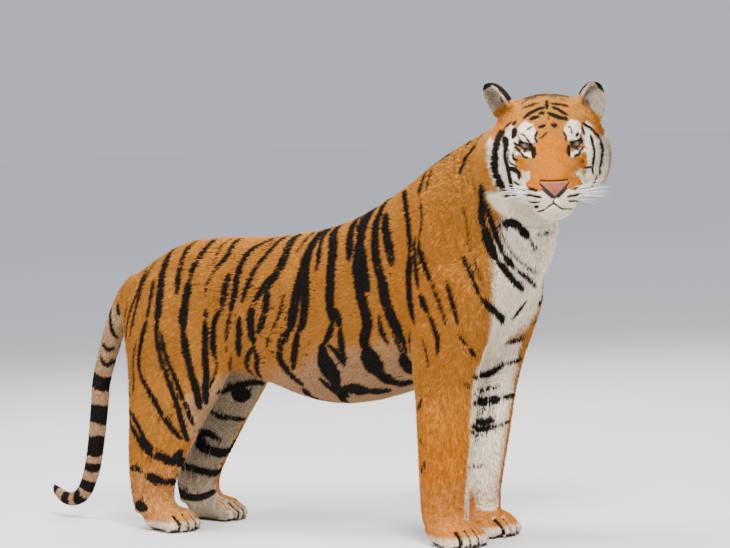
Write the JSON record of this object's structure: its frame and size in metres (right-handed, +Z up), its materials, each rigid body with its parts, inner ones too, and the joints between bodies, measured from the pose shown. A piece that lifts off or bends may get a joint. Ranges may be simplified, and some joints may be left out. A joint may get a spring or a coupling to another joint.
{
  "type": "standing tiger model",
  "caption": "Still life-size model of a Bengal tigress standing square on level paws, head raised and turned to the right, tail hanging and curled up at its tip.",
  "frame": {"origin": "middle of the bounding box, on the floor it stands on", "axes": "+X forwards along the trunk, +Y to the animal's left, +Z up"},
  "size_m": [1.8854, 0.3888, 1.1514],
  "materials": {
    "head": "short striped fur",
    "neck": "short striped fur",
    "trunk": "short striped fur",
    "lower_jaw": "short white fur",
    "nose": "damp satin",
    "ear_left": "short fur",
    "ear_right": "short fur",
    "eye_left": "glossy",
    "eye_right": "glossy",
    "tail_root": "short ringed fur",
    "tail_middle": "short ringed fur",
    "tail_tip": "short ringed fur",
    "fore_leg_left": "short striped fur",
    "fore_leg_right": "short striped fur",
    "hind_leg_left": "short striped fur",
    "hind_leg_right": "short striped fur",
    "fore_paw_left": "short fur",
    "fore_paw_right": "short fur",
    "hind_paw_left": "short fur",
    "hind_paw_right": "short fur"
  },
  "bodies": {
    "root": {"head": "head", "neck": "neck", "trunk": "trunk", "lower_jaw": "lower_jaw", "nose": "nose", "ear_left": "ear_left", "ear_right": "ear_right", "eye_left": "eye_left", "eye_right": "eye_right", "tail_root": "tail_root", "tail_middle": "tail_middle", "tail_tip": "tail_tip", "fore_leg_left": "fore_leg_left", "fore_leg_right": "fore_leg_right", "hind_leg_left": "hind_leg_left", "hind_leg_right": "hind_leg_right", "fore_paw_left": "fore_paw_left", "fore_paw_right": "fore_paw_right", "hind_paw_left": "hind_paw_left", "hind_paw_right": "hind_paw_right"}
  },
  "joints": []
}
